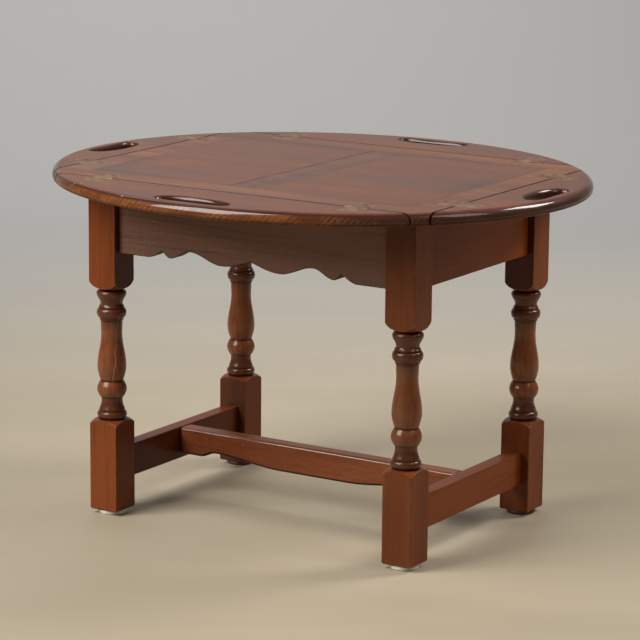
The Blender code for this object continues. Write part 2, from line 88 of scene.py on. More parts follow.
# Hinge screws: two near the joint and one near the rounded end of each plate
SCREW_PLACES = ((-0.011, 0.011), (0.011, 0.011), (0.0, 0.024))
SCREW_HEAD = 0.0030
SCREW_SLOT = 0.0007
SCREW_PROUD = 0.00015
SCREW_SLOT_DEPTH = 0.0004
SCREW_DEPTH = 0.0012
SCREW_SPLIT = 0.00001

# Turn of a screw's slot, in radians: by its number, by its hinge, by its side, and between the two plates
TURN_BY_NUMBER = 1.1
TURN_BY_HINGE = 0.7
TURN_BY_SIDE = 0.37
TURN_BETWEEN = 0.8

# Fine shapes of the legs: arris, foot, shoulders and the levels that their blocks are divided at
LEG_ARRIS = 0.0012
FOOT_CHAMFER = 0.002
LOWER_ARRIS = 0.1270
UPPER_ARRIS = 0.3475
LOWER_LEVELS = (0.065, 0.115)
UPPER_LEVELS = (0.365, 0.42)
CREASE = 0.0009
SHOULDER_SPARE = 0.001

# How much edges are rubbed, which on the shoulder line also stands for a painted highlight: foot, its chamfer,
# shoulder line, beside the shoulder line, upright arris
FOOT_WEAR = 0.3
CHAMFER_WEAR = 0.6
SHOULDER_WEAR_AND_HIGHLIGHT = 1.0
BESIDE_WEAR = 0.15
ARRIS_WEAR = 0.7
ARRIS_DEGREES = 2.5

# Turned stretch of a leg, going up: height above the floor, radius, way the line bends
TURNING = (
    (0.1400, 0.0170, "line"),
    (0.1455, 0.0212, "rise"),
    (0.1510, 0.0172, "fall"),
    (0.1516, 0.0183, "line"),
    (0.1535, 0.0182, "line"),
    (0.1660, 0.0151, "swell"),
    (0.1712, 0.0156, "ease"),
    (0.1716, 0.0172, "line"),
    (0.1824, 0.0212, "swell"),
    (0.1942, 0.0170, "sink"),
    (0.1950, 0.0154, "line"),
    (0.1962, 0.0166, "line"),
    (0.2160, 0.0207, "swell"),
    (0.2630, 0.0150, "ease"),
    (0.2830, 0.0156, "ease"),
    (0.2836, 0.0172, "line"),
    (0.2868, 0.0172, "line"),
    (0.2938, 0.0211, "rise"),
    (0.3005, 0.0172, "fall"),
    (0.3010, 0.0182, "line"),
    (0.3030, 0.0178, "line"),
    (0.3072, 0.0158, "swell"),
    (0.3215, 0.0213, "ease"),
    (0.3270, 0.0160, "fall"),
)
LOWER_NECK = (0.1395, 0.0150)
UPPER_NECK = (0.3285, 0.0150)

# Grooves of the turning: height above the floor and how far their painted shade reaches
GROOVE_SHADE = (
    (0.1395, 0.0016),
    (0.1513, 0.0012),
    (0.1714, 0.0022),
    (0.1952, 0.0022),
    (0.2834, 0.0014),
    (0.3007, 0.0012),
    (0.3285, 0.0022),
)

# Lower edge of a long apron from its middle outwards: distance, height above the edge, bend
SCALLOP = (
    (0.000, 0.0120, "line"),
    (0.048, 0.0005, "swell"),
    (0.101, 0.0145, "ease"),
    (0.134, 0.0020, "ease"),
    (0.147, 0.0115, "sink"),
    (0.172, 0.0000, "swell"),
)

# Lower edge of the middle stretcher from its middle outwards, height above the edge
BELLY = (
    (0.000, 0.0000, "line"),
    (0.056, 0.0000, "line"),
    (0.170, 0.0095, "ease"),
    (0.198, 0.0015, "ease"),
)

# Floor pad, going up: share of its radius, height
PAD_PROFILE = (
    (0.9, 0.0),
    (0.96, 0.0004),
    (0.99, 0.0012),
    (1.0, 0.0024),
    (1.0, 0.0040),
    (0.985, 0.0052),
    (0.95, 0.006),
)

# Rounding of edges
APRON_EDGE = 0.0010
STRETCHER_EDGE = 0.0016
MIDDLE_EDGE = 0.0042
BLOCK_EDGE = 0.0008
SCREW_EDGE = 0.0002
PLATE_EDGE = 0.00015
PIN_EDGE = 0.0001
EDGE_ANGLE = 40
WELD_REACH = 0.00005

# Angles in degrees above which an edge stays sharp
SHARP_ANGLE = 35
LEG_SHARP_ANGLE = 24
PAD_SHARP_ANGLE = 40

# Steps that curves are divided into
CURVE_STEPS = 8
SHOULDER_STEPS = 10
PAD_STEPS = 48
OVAL_STEPS = 240
ROUND_STEPS = 9
SLOT_STEPS = 72
CORNER_STEPS = 3
SCREW_STEPS = 20
EDGE_STEPS = 2
MIDDLE_EDGE_STEPS = 5
SWEEP_STEPS = 16

# Angles of a leg's points from a corner of its square, in degrees
RING_OFFSETS = (0.0, 0.9, 1.8, 2.9, 4.5, 8.0, 13.0, 19.0, 26.0, 33.0, 39.0)

SIDES = {"front": 180, "rear": 0, "left": 90, "right": 270}
ENDS = {"left": -1, "right": 1}
FACES = {"front": -1, "rear": 1}

# Stained woods: dark, middle and light tone
WOOD = ((0.030, 0.0075, 0.0032), (0.158, 0.0355, 0.0092), (0.228, 0.058, 0.0145))
APRON_WOOD = ((0.036, 0.0160, 0.0110), (0.158, 0.0810, 0.0550), (0.226, 0.115, 0.0780))
END_WOOD = (WOOD[0], (0.172, 0.037, 0.0068), (0.244, 0.057, 0.0105))
MIDDLE_WOOD = (WOOD[0], (0.205, 0.056, 0.0200), (0.310, 0.098, 0.0350))
BARE_WOOD = ((0.140, 0.080, 0.040), (0.330, 0.200, 0.105), (0.430, 0.280, 0.160))
TRAY_DARK = (0.030, 0.0105, 0.0062)
TRAY_WOOD = (TRAY_DARK, (0.118, 0.031, 0.0135), (0.195, 0.058, 0.0240))
BAND_WOOD = (TRAY_DARK, (0.102, 0.033, 0.0165), (0.150, 0.052, 0.0260))
BORDER_WOOD = (TRAY_DARK, (0.150, 0.042, 0.0150), (0.222, 0.072, 0.0255))

# Colours of wear, with a painted highlight on edges, of stains, flecks and nicks, and of painted light and
# painted shade
# paler rubbed edges, which on the shoulder lines also stand for a painted highlight
WEAR_AND_HIGHLIGHT = (0.40, 0.18, 0.078)
RUBBED = (0.218, 0.074, 0.0270)
# painted light: paler tone of the end aprons towards the rear
PAINTED_LIGHT = (0.400, 0.085, 0.0100)
# painted shade on faces that look down
UNDERSIDE_SHADE = (0.016, 0.0075, 0.0050)
# painted shade on the fronts of two legs
FRONT_SHADE = (0.036, 0.0260, 0.0155)
FIELD_STAIN = (0.052, 0.024, 0.016)
BORDER_STAIN = (0.044, 0.022, 0.017)
FLECK = (0.30, 0.19, 0.14)
NICK = (0.52, 0.36, 0.25)

# Colours of the rim: paler bare end grain, which also stands for painted light on the side that the key lamp
# lights, and where the stain stayed
LIT_BARE_RIM = ((0.120, 0.032, 0.0090), (0.250, 0.080, 0.0180))
DARK_RIM = ((0.060, 0.021, 0.0110), (0.105, 0.036, 0.0160))

# Streaks of end grain round the rim: turn of the wave per radian and per metre of height
RIM_STREAKS = 273.0
RIM_SLANT = -740.0

# Metals and plastic: two tones, and for brass the tone of its scratches
BRASS = ((0.160, 0.072, 0.040), (0.290, 0.165, 0.080), (0.34, 0.21, 0.11))
SCREW_BRASS = ((0.060, 0.032, 0.018), (0.140, 0.082, 0.042), (0.30, 0.20, 0.10))
STEEL = ((0.30, 0.29, 0.27), (0.52, 0.51, 0.49))
WHITE_PAD = ((0.80, 0.79, 0.75), (0.52, 0.49, 0.43))
# darker copy of the white pad for the rear pads: painted shade
SHADED_PAD = ((0.085, 0.040, 0.024), (0.045, 0.026, 0.018))

# Gloss: coat on turnings, on the rubbed tops of the boards and on their edges, and the lacquer's own shine
TURNED_COAT = 0.62
TOP_COAT = 0.30
EDGE_COAT = 0.78
LACQUER_SHINE = 0.10
BRASS_METAL = 0.45

# Heights between which the legs are turned, and over how much the finish changes there
TURNED = (0.138, 0.330)
TURNED_STEP = 0.004

# A face looks along an axis where its normal's part goes from the first value to the second
LOOKING = (0.55, 0.90)

# Shares of painted shade: inner faces above the turning, near right leg below and at its top, rear left foot
INNER_SHADE_HIGH = 0.75
NEAR_SHADE = (0.26, 0.48)
NEAR_SHADE_HEIGHTS = (0.38, 0.46)
REAR_SHADE = 0.50

# Painted shade at both ends of the turning: heights between which it comes in, and its share
LOWER_COVE_SHADE = (0.176, 0.166, 0.58)
UPPER_COVE_SHADE = (0.262, 0.292, 0.56)

# Scratch: angle and height at its lower end, turn per metre of height, sway, widths, share, fading heights
SCRATCH_ANGLE = -0.894
SCRATCH_HEIGHT = 0.1937
SCRATCH_TURN = 6.0
SCRATCH_SWAY = 0.08
SCRATCH_WIDTHS = (0.040, 0.012)
SCRATCH_SHARE = 0.55
SCRATCH_TOP = (0.296, 0.290)
SCRATCH_LOW = (0.190, 0.196)

# Veneer of the tray board: border inside the joints, band across the middle, seams and their blur
BORDER = 0.047
BAND = (-0.026, 0.024)
SEAM = 0.0011
BLUR = 0.0002

CAMERA_PLACE = Vector((2.153, -3.426, 1.155))
CAMERA_RIGHT = Vector((0.8457, 0.5335, 0.0095))
CAMERA_UP = Vector((-0.1203, 0.1733, 0.9774))
CAMERA_LENS = 163.5
SENSOR_WIDTH = 36.0

# Paper sweep: where it starts to rise, its bend, height, half length and turn in degrees
SWEEP_START = 2.2
SWEEP_RADIUS = 1.2
SWEEP_HEIGHT = 3.2
STAGE_HALF = 14.0
SWEEP_TURN = 32.1
PAPER_TONES = ((0.440, 0.376, 0.270), (0.480, 0.412, 0.300))
PAPER_LEFT_SHADE = (0.372, 0.317, 0.230)
PAPER_BACK = (0.455, 0.450, 0.440)

# Lamps: name, place, aim, size, power, colour
LAMPS = (
    ("left_softbox", (-0.98, -1.72, 1.98), (0.0, 0.0, 0.30), (1.4, 2.0), 82.0, (1.0, 0.97, 0.93)),
    ("right_softbox", (1.90, -0.10, 2.10), (0.0, 0.0, 0.30), (0.8, 1.2), 9.0, (1.0, 0.96, 0.91)),
    ("rear_softbox", (1.38, 1.58, 2.20), (0.0, 0.0, 0.30), (0.9, 0.9), 43.0, (1.0, 0.96, 0.91)),
    ("back_wash", (-1.6, 1.3, 2.9), (-2.3, 3.0, 0.8), (2.6, 1.2), 43.0, (0.97, 0.99, 1.0)),
)
WORLD_COLOR = (0.95, 0.97, 1.0, 1.0)
WORLD_STRENGTH = 0.08


# Shapes

def bend(start, end, way, steps):
    """Points after start and up to end, on a line that bends in the named way."""
    length = end[0] - start[0]
    rise = end[1] - start[1]
    points = []
    for step in range(1, steps + 1):
        part = step / steps
        angle = math.pi / 2 * part
        lengthwise = part
        across = part
        if way == "rise":
            lengthwise = 1 - math.cos(angle)
            across = math.sin(angle)
        if way == "fall":
            lengthwise = math.sin(angle)
            across = 1 - math.cos(angle)
        if way == "ease":
            across = (1 - math.cos(math.pi * part)) / 2
        if way == "swell":
            across = math.sin(angle)
        if way == "sink":
            across = 1 - math.cos(angle)
        points.append((start[0] + length * lengthwise, start[1] + rise * across))
    return points


def trace(stations):
    """All points of a line given by stations of place, height and bend."""
    points = [stations[0][:2]]
    for place, height, way in stations[1:]:
        steps = 1 if way == "line" else CURVE_STEPS
        points.extend(bend(points[-1], (place, height), way, steps))
    return points


def circle(radius, steps):
    angles = [2 * math.pi * step / steps for step in range(steps)]
    return [(radius * math.cos(angle), radius * math.sin(angle)) for angle in angles]


def skin(rings):
    """A closed solid through rings of equally many points."""
    count = len(rings[0])
    points = [point for ring in rings for point in ring]
    faces = [tuple(reversed(range(count))), tuple(range(len(points) - count, len(points)))]
    for level in range(len(rings) - 1):
        low = level * count
        for step in range(count):
            after = (step + 1) % count
            faces.append((low + step, low + after, low + count + after, low + count + step))
    return points, faces


def prism(outline, low, high):
    return skin([[(x, y, z) for x, y in outline] for z in (low, high)])


def box(x_span, y_span, z_span):
    (left, right), (front, rear) = x_span, y_span
    return prism([(left, front), (right, front), (right, rear), (left, rear)], *z_span)


def group(shapes):
    points = []
    faces = []
    for shape in shapes:
        start = len(points)
        points.extend(shape[0])
        faces.extend(tuple(index + start for index in face) for face in shape[1])
    return points, faces


def move(shape, matrix):
    return [tuple(matrix @ Vector(point)) for point in shape[0]], shape[1]


def new_object(name, shape):
    mesh = bpy.data.meshes.new(name)
    mesh.from_pydata([tuple(point) for point in shape[0]], [], shape[1])
    builder = bmesh.new()
    builder.from_mesh(mesh)
    bmesh.ops.recalc_face_normals(builder, faces=builder.faces)
    builder.to_mesh(mesh)
    builder.free()
    item = bpy.data.objects.new(name, mesh)
    bpy.context.scene.collection.objects.link(item)
    return item


def combine(body, tool, operation):
    """The body with the tool cut from it, joined to it or kept in common with it."""
    base = new_object("temporary", body)
    other = new_object("temporary", tool)
    modifier = base.modifiers.new("combine", "BOOLEAN")
    modifier.operation = operation
    modifier.solver = "EXACT"
    modifier.object = other
    result = base.evaluated_get(bpy.context.evaluated_depsgraph_get()).data
    points = [tuple(vertex.co) for vertex in result.vertices]
    faces = [tuple(face.vertices) for face in result.polygons]
    for item in (base, other):
        bpy.data.objects.remove(item, do_unlink=True)
    return points, faces


def middle_of(node):
    low, high = (Vector(corner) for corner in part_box(node))
    return (low + high) / 2


def smooth(item, angle=SHARP_ANGLE):
    item.data.shade_smooth()
    item.data.set_sharp_from_angle(angle=math.radians(angle))


def keep_flat(item):
    """Shades the large faces of a piece as flat beside its rounded edges."""
    item.modifiers.new("flat faces", "WEIGHTED_NORMAL").keep_sharp = True


def ease_edges(item, width, steps=EDGE_STEPS):
    """Rounds the sharp edges of a piece a little and keeps its flat faces flat."""
    bevel = item.modifiers.new("edges", "BEVEL")
    bevel.width = width
    bevel.segments = steps
    bevel.limit_method = "ANGLE"
    bevel.angle_limit = math.radians(EDGE_ANGLE)
    keep_flat(item)


def paint(item, material):
    item.data.materials.clear()
    item.data.materials.append(material)


def dress(item, material, body, slot, *replaced):
    paint(item, material)
    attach(item, body)
    if replaced:
        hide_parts(*replaced)


# Materials

class Graph:
    """A material's node tree, with short ways to add nodes."""

    def __init__(self, name):
        self.material = bpy.data.materials.new(name)
        self.material.use_nodes = True
        self.tree = self.material.node_tree
        self.shader = self.tree.nodes["Principled BSDF"]

    def add(self, kind, **settings):
        node = self.tree.nodes.new(kind)
        for key, value in settings.items():
            setattr(node, key, value)
        return node

    def feed(self, socket, value):
        if isinstance(value, bpy.types.NodeSocket):
            self.tree.links.new(value, socket)
        else:
            socket.default_value = value

    def put(self, name, value):
        """Sets one of the shader's own sockets, or links it to another node."""
        self.feed(self.shader.inputs[name], value)

    def math(self, operation, first, second=0.0):
        node = self.add("ShaderNodeMath", operation=operation)
        self.feed(node.inputs[0], first)
        self.feed(node.inputs[1], second)
        return node.outputs[0]

    def times(self, first, *others):
        for other in others:
            first = self.math("MULTIPLY", first, other)
        return first

    def minus(self, first, second):
        return self.math("SUBTRACT", first, second)

    def without(self, value, share):
        """The value less a share of it."""
        return self.times(value, self.minus(1.0, share))

    def size(self, value):
        return self.math("ABSOLUTE", value)

    def larger(self, first, second):
        return self.math("MAXIMUM", first, second)

    def parts(self, vector):
        node = self.add("ShaderNodeSeparateXYZ")
        self.feed(node.inputs[0], vector)
        return node.outputs

    def place(self):
        return self.add("ShaderNodeTexCoord").outputs["Object"]

    def normal(self):
        return self.parts(self.add("ShaderNodeTexCoord").outputs["Normal"])

    def attribute(self, name):
        return self.add("ShaderNodeAttribute", attribute_name=name).outputs["Fac"]

    def noise(self, place, scale, detail, rough, distortion=0.0, shift=(0.0, 0.0, 0.0)):
        """Noise with its own scale along each axis."""
        mapping = self.add("ShaderNodeMapping")
        self.feed(mapping.inputs["Vector"], place)
        mapping.inputs["Scale"].default_value = scale
        mapping.inputs["Location"].default_value = shift
        node = self.add("ShaderNodeTexNoise")
        self.feed(node.inputs["Vector"], mapping.outputs[0])
        node.inputs["Scale"].default_value = 1.0
        node.inputs["Detail"].default_value = detail
        node.inputs["Roughness"].default_value = rough
        node.inputs["Distortion"].default_value = distortion
        return node.outputs["Fac"]

    def span(self, value, low, high, first=0.0, last=1.0):
        """Goes smoothly from first to last while the value goes from low to high."""
        node = self.add("ShaderNodeMapRange", interpolation_type="SMOOTHSTEP")
        self.feed(node.inputs["Value"], value)
        node.inputs["From Min"].default_value = low
        node.inputs["From Max"].default_value = high
        node.inputs["To Min"].default_value = first
        node.inputs["To Max"].default_value = last
        return node.outputs["Result"]

    def mix(self, share, first, second):
        node = self.add("ShaderNodeMix", data_type="RGBA", blend_type="MIX")
        self.feed(node.inputs["Factor"], share)
        for socket, value in ((node.inputs[6], first), (node.inputs[7], second)):
            self.feed(socket, value if isinstance(value, bpy.types.NodeSocket) else (*value, 1.0))
        return node.outputs[2]

    def bump(self, height, strength, distance):
        node = self.add("ShaderNodeBump")
        node.inputs["Strength"].default_value = strength
        node.inputs["Distance"].default_value = distance
        self.feed(node.inputs["Height"], height)
        self.put("Normal", node.outputs[0])


def stretched(axis, lengthwise, across):
    """Texture scale that stretches a pattern along one axis."""
    return tuple(lengthwise if index == axis else across for index in range(3))


def wood_layers(graph, place, axis, tones, contrast=0.6, shift=(0.0, 0.0, 0.0)):
    """Colour, height and broad patches of stained wood whose grain runs along an axis."""
    dark, middle, light = tones
    broad = graph.noise(place, stretched(axis, 2.0, 14.0), 3.0, 0.5, 0.6, shift)
    bands = graph.noise(place, stretched(axis, 3.5, 150.0), 4.0, 0.6, 0.8, shift)
    fibres = graph.noise(place, stretched(axis, 22.0, 700.0), 3.0, 0.6, 0.0, shift)
    pores = graph.noise(place, stretched(axis, 90.0, 1500.0), 2.0, 0.5, 0.0, shift)
    tone = graph.mix(graph.span(broad, 0.32, 0.68), middle, light)
    tone = graph.mix(graph.times(graph.span(bands, 0.46, 0.80), 0.75 * contrast), tone, dark)
    tone = graph.mix(graph.times(graph.span(fibres, 0.48, 0.75), 0.50 * contrast), tone, dark)
    pore = graph.span(pores, 0.60, 0.72)
    tone = graph.mix(graph.times(pore, 0.60 * contrast), tone, dark)
    height = graph.minus(graph.times(fibres, 0.4), pore)
    return tone, height, broad


def lacquer(graph, color, height, patches, rough, coat, coat_rough, rise):
    """Satin lacquer over a stained surface."""
    graph.put("Base Color", color)
    graph.put("Roughness", graph.span(patches, 0.3, 0.7, *rough))
    graph.put("Specular IOR Level", LACQUER_SHINE)
    graph.put("Coat Weight", coat)
    graph.put("Coat Roughness", coat_rough)
    graph.bump(height, rise, 0.0004)
    return graph.material


def underside(graph):
    """One on surfaces that look down, none on those that look sideways or up."""
    return graph.span(graph.normal()[2], -0.05, -0.45)


def arris_share(graph):
    """None on flat faces square to the axes, more on the rounded edges between them."""
    x, y, z = [graph.size(part) for part in graph.normal()]
    return graph.minus(1.0, graph.larger(graph.larger(x, y), z))


def inner_shade_share(graph, place, low_shade):
    """Share of painted shade on faces that look towards the table's middle, below and above the turning."""
    normal = graph.normal()
    spot = graph.parts(place)
    x = graph.times(normal[0], graph.math("SIGN", spot[0]))
    y = graph.times(normal[1], graph.math("SIGN", spot[1]))
    inward = graph.span(graph.math("MINIMUM", x, y), -LOOKING[0], -LOOKING[1])
    low = graph.span(spot[2], TURNED[0] - TURNED_STEP, TURNED[0], low_shade, 0.0)
    high = graph.span(spot[2], TURNED[1], TURNED[1] + TURNED_STEP, 0.0, INNER_SHADE_HIGH)
    return graph.times(inward, graph.math("ADD", low, high))


def front_shade_share(graph, place):
    """Share of painted shade on the fronts of the near right leg, more towards its top, and of the rear left
    foot.
    """
    spot = graph.parts(place)
    front = graph.span(graph.normal()[1], -LOOKING[0], -LOOKING[1])
    near = graph.times(graph.span(spot[1], 0.05, -0.05), graph.span(spot[0], -0.10, 0.10),
                       graph.span(spot[2], *NEAR_SHADE_HEIGHTS, *NEAR_SHADE))
    rear = graph.times(graph.span(spot[1], -0.05, 0.05), graph.span(spot[0], 0.10, -0.10, 0.0, REAR_SHADE),
                       graph.span(spot[2], TURNED[0], TURNED[0] - TURNED_STEP))
    return graph.times(front, graph.math("ADD", near, rear))


def turned_share(graph, place):
    """One on the turned part of a leg."""
    middle = (TURNED[0] + TURNED[1]) / 2.0
    reach = (TURNED[1] - TURNED[0]) / 2.0
    offset = graph.size(graph.minus(graph.parts(place)[2], middle))
    return graph.span(offset, reach, reach - TURNED_STEP)


def cove_shade_share(graph, place):
    """Share of painted shade on the coves and beads at both ends of the turning."""
    height = graph.parts(place)[2]
    ends = [graph.span(height, start, end, 0.0, share) for start, end, share in (LOWER_COVE_SHADE, UPPER_COVE_SHADE)]
    return graph.math("ADD", *ends)


def scratch_share(graph, place):
    """Share of a pale scratch that winds down the turning of the left near leg."""
    axis = middle_of("leg_front_left")
    spot = graph.parts(place)
    x = graph.minus(spot[0], axis.x)
    y = graph.minus(spot[1], axis.y)
    wander = graph.noise(place, (0.0, 0.0, 60.0), 2.0, 0.5)
    start = graph.span(wander, 0.3, 0.7, SCRATCH_ANGLE - SCRATCH_SWAY, SCRATCH_ANGLE + SCRATCH_SWAY)
    line = graph.times(graph.minus(spot[2], SCRATCH_HEIGHT), SCRATCH_TURN)
    line = graph.math("ADD", line, start)
    away = graph.size(graph.minus(graph.math("ARCTAN2", y, x), line))
    on_leg = graph.span(graph.larger(graph.size(x), graph.size(y)), 0.03, 0.029)
    return graph.times(on_leg, graph.span(away, *SCRATCH_WIDTHS, 0.0, SCRATCH_SHARE),
                       graph.span(spot[2], *SCRATCH_TOP), graph.span(spot[2], *SCRATCH_LOW))


def add_flecks(graph, place, axis, color, coat, flecks):
    """Pale flecks in patches, and an underside darkened as painted shade and without gloss."""
    specks = graph.noise(place, stretched(axis, 250.0, 330.0), 2.0, 0.60)
    patch = graph.noise(place, (9.0, 9.0, 14.0), 2.0, 0.5)
    share = graph.times(graph.span(specks, 0.60, 0.70), graph.span(patch, 0.42, 0.66), flecks)
    color = graph.mix(share, color, FLECK)
    # faces that look down are darkened as painted shade
    under = underside(graph)
    return graph.mix(under, color, UNDERSIDE_SHADE), graph.without(coat, under)


def add_leg_wear(graph, place, color, coat, dark):
    """Rubbed edges, also a painted highlight on the shoulder lines, rubbed turning, painted shade on the coves
    and grooves, one scratch and painted shade on two fronts.
    """
    chips = graph.noise(place, (60.0, 60.0, 45.0), 4.0, 0.7)
    edges = graph.times(graph.span(graph.attribute("wear"), 0.25, 1.0), graph.span(chips, 0.42, 0.60), 0.85)
    # rubbed edges, strong enough on the shoulder lines to be a painted highlight
    color = graph.mix(edges, color, WEAR_AND_HIGHLIGHT)
    turned = turned_share(graph, place)
    streaks = graph.noise(place, (150.0, 150.0, 16.0), 3.0, 0.6)
    color = graph.mix(graph.times(turned, graph.span(streaks, 0.35, 0.65, 0.15, 0.85)), color, RUBBED)
    # painted shade on the coves and beads at both ends of the turning
    color = graph.mix(graph.times(turned, cove_shade_share(graph, place)), color, dark)
    color = graph.mix(scratch_share(graph, place), color, NICK)
    # painted shade in the grooves of the turning
    color = graph.mix(graph.times(graph.attribute("groove"), 0.85), color, dark)
    # painted shade on the fronts of the near right leg and of the rear left foot
    color = graph.mix(front_shade_share(graph, place), color, FRONT_SHADE)
    return color, graph.span(turned, 0.0, 1.0, coat, TURNED_COAT)


def add_painted_light_and_shade(graph, place, color, dark):
    """End aprons paler towards the rear as painted light, and all end rails darker on top as painted shade."""
    spot = graph.parts(place)
    share = graph.times(graph.span(spot[2], 0.30, 0.34), graph.span(spot[1], -0.13, 0.18, 0.0, 0.5))
    color = graph.mix(share, color, PAINTED_LIGHT)
    return graph.mix(graph.span(graph.normal()[2], *LOOKING, 0.0, 0.28), color, dark)


def wood(name, axis, tones=WOOD, rough=(0.30, 0.44), contrast=0.5, coat=0.28, coat_rough=0.12, arris_coat=0.0,
         flecks=0.0, worn=False, inner=0.0, painted_light_and_shade=False):
    graph = Graph(name)
    place = graph.place()
    if arris_coat:
        coat = graph.span(arris_share(graph), 0.02, 0.10, coat, arris_coat)
    color, height, patches = wood_layers(graph, place, axis, tones, contrast)
    if flecks:
        color, coat = add_flecks(graph, place, axis, color, coat, flecks)
    if worn:
        color, coat = add_leg_wear(graph, place, color, coat, tones[0])
    # painted shade on faces that look towards the table's middle
    if inner:
        color = graph.mix(inner_shade_share(graph, place, inner), color, tones[0])
    # painted light towards the rear of the end aprons and painted shade on the tops of the end rails
    if painted_light_and_shade:
        color = add_painted_light_and_shade(graph, place, color, tones[0])
    return lacquer(graph, color, height, patches, rough, coat, coat_rough, 0.16)


def rim_color(graph, place, color, lit_bare_rim):
    """End grain with slanting streaks round the rim, paler on the left of the front and rear rims where the stain
    took less and as painted light from the key lamp, and small nicks.
    """
    parts = graph.parts(place)
    x = graph.math("DIVIDE", parts[0], HALF_LENGTH)
    y = graph.math("DIVIDE", parts[1], HALF_WIDTH)
    outward = graph.math("SQRT", graph.math("ADD", graph.times(x, x), graph.times(y, y)))
    mottle = graph.noise(place, (28.0, 28.0, 90.0), 4.0, 0.6)
    fleck = graph.noise(place, (140.0, 140.0, 90.0), 3.0, 0.6)
    turn = graph.times(graph.math("ARCTAN2", y, x), RIM_STREAKS)
    slant = graph.math("ADD", turn, graph.times(parts[2], RIM_SLANT))
    wave = graph.math("SINE", graph.math("ADD", slant, graph.times(mottle, 9.0)))
    streak = graph.times(graph.span(wave, -0.3, 0.8), graph.span(fleck, 0.35, 0.62, 0.2, 1.0),
                         graph.span(mottle, 0.36, 0.62, 0.15, 0.80))
    grain = graph.mix(graph.span(mottle, 0.35, 0.65), *DARK_RIM)
    # paler rim on the key lamp's side: partly bare end grain, partly painted light
    if lit_bare_rim:
        bare_and_lit = graph.mix(graph.span(mottle, 0.35, 0.65), *LIT_BARE_RIM)
        grain = graph.mix(graph.span(x, 0.64, 0.44), grain, bare_and_lit)
    grain = graph.mix(streak, grain, TRAY_DARK)
    color = graph.mix(graph.span(outward, 0.989, 0.9986, 0.0, 0.92), color, grain)
    nicks = graph.noise(place, (95.0, 95.0, 95.0), 1.0, 0.5)
    nicks = graph.times(graph.span(nicks, 0.750, 0.790), graph.span(outward, 0.965, 0.985, 0.0, 0.75))
    return graph.mix(nicks, color, NICK)


def board_edges(graph, place, color, lit_bare_rim):
    """Colour and gloss of a tray board with darker, glossier edges, its rim and a dull underside."""
    flat = graph.size(graph.normal()[2])
    color = graph.mix(graph.span(flat, 0.96, 0.70, 0.0, 0.85), color, TRAY_DARK)
    color = rim_color(graph, place, color, lit_bare_rim)
    return color, graph.without(graph.span(flat, 0.985, 0.90, TOP_COAT, EDGE_COAT), underside(graph))


def leaf_wood(name, lit_bare_rim):
    graph = Graph(name)
    place = graph.place()
    color, height, patches = wood_layers(graph, place, 0, TRAY_WOOD)
    color, coat = board_edges(graph, place, color, lit_bare_rim)
    return lacquer(graph, color, height, patches, (0.36, 0.48), coat, 0.07, 0.07)


def tray_wood(name):
    """Veneered board: a border and a middle band frame two fields."""
    graph = Graph(name)
    place = graph.place()
    x, y = graph.parts(place)[:2]
    color, height, patches = wood_layers(graph, place, 0, TRAY_WOOD)
    band = wood_layers(graph, place, 1, BAND_WOOD, shift=(1.7, 0.4, 0.0))[0]
    border = wood_layers(graph, place, 0, BORDER_WOOD, shift=(0.0, 3.1, 0.0))[0]
    across = graph.minus(graph.size(x), JOINT_X - BORDER)
    deep = graph.minus(graph.size(y), JOINT_Y - BORDER)
    edge = graph.larger(across, deep)
    in_fields = graph.span(edge, BLUR, -BLUR)
    offset = graph.minus(x, (BAND[0] + BAND[1]) / 2)
    inside = graph.minus(graph.size(offset), (BAND[1] - BAND[0]) / 2)
    color = graph.mix(graph.span(inside, BLUR, -BLUR), color, band)
    color = graph.mix(graph.span(edge, -BLUR, BLUR), color, border)
    seam_edge = graph.span(graph.size(edge), SEAM * 2.0, SEAM * 0.5, 0.0, 0.45)
    seam_band = graph.span(graph.size(inside), SEAM * 2.0, SEAM * 0.5, 0.0, 0.95)
    seam_band = graph.times(seam_band, in_fields, graph.span(x, 0.02, -0.02, 0.35, 1.0))
    seam = graph.larger(seam_edge, seam_band)
    stain = graph.noise(place, (5.0, 9.0, 5.0), 3.0, 0.55)
    color = graph.mix(graph.span(stain, 0.52, 0.75, 0.0, 0.40), color, FIELD_STAIN)
    beside = graph.times(graph.span(edge, -0.045, -0.006), in_fields, graph.span(stain, 0.40, 0.58, 0.0, 0.42))
    color = graph.mix(beside, color, BORDER_STAIN)
    color = graph.mix(seam, color, TRAY_DARK)
    color, coat = board_edges(graph, place, color, False)
    return lacquer(graph, color, height, patches, (0.36, 0.50), graph.without(coat, seam), 0.09, 0.07)


def brass(name, low, high, bright):
    graph = Graph(name)
    place = graph.place()
    patina = graph.noise(place, (36.0, 36.0, 60.0), 6.0, 0.68)
    scratch = graph.noise(place, (900.0, 260.0, 500.0), 2.0, 0.5)
    color = graph.mix(graph.span(patina, 0.35, 0.65), low, high)
    graph.put("Base Color", graph.mix(graph.span(scratch, 0.62, 0.74, 0.0, 0.5), color, bright))
    graph.put("Metallic", BRASS_METAL)
    graph.put("Roughness", graph.span(patina, 0.3, 0.7, 0.52, 0.38))
    graph.bump(scratch, 0.10, 0.0002)
    return graph.material


def steel(name, low, high):
    graph = Graph(name)
    wear = graph.noise(graph.place(), (220.0, 220.0, 220.0), 4.0, 0.6)
    graph.put("Base Color", graph.mix(wear, low, high))
    graph.put("Metallic", 1.0)
    graph.put("Roughness", graph.span(wear, 0.3, 0.7, 0.32, 0.50))
    graph.bump(wear, 0.08, 0.0002)
    return graph.material


def pad_plastic(name, clean, soiled):
    graph = Graph(name)
    dirt = graph.noise(graph.place(), (140.0, 140.0, 260.0), 4.0, 0.6)
    graph.put("Base Color", graph.mix(graph.span(dirt, 0.45, 0.75), clean, soiled))
    graph.put("Roughness", graph.span(dirt, 0.3, 0.7, 0.42, 0.62))
    graph.bump(dirt, 0.08, 0.0003)
    return graph.material


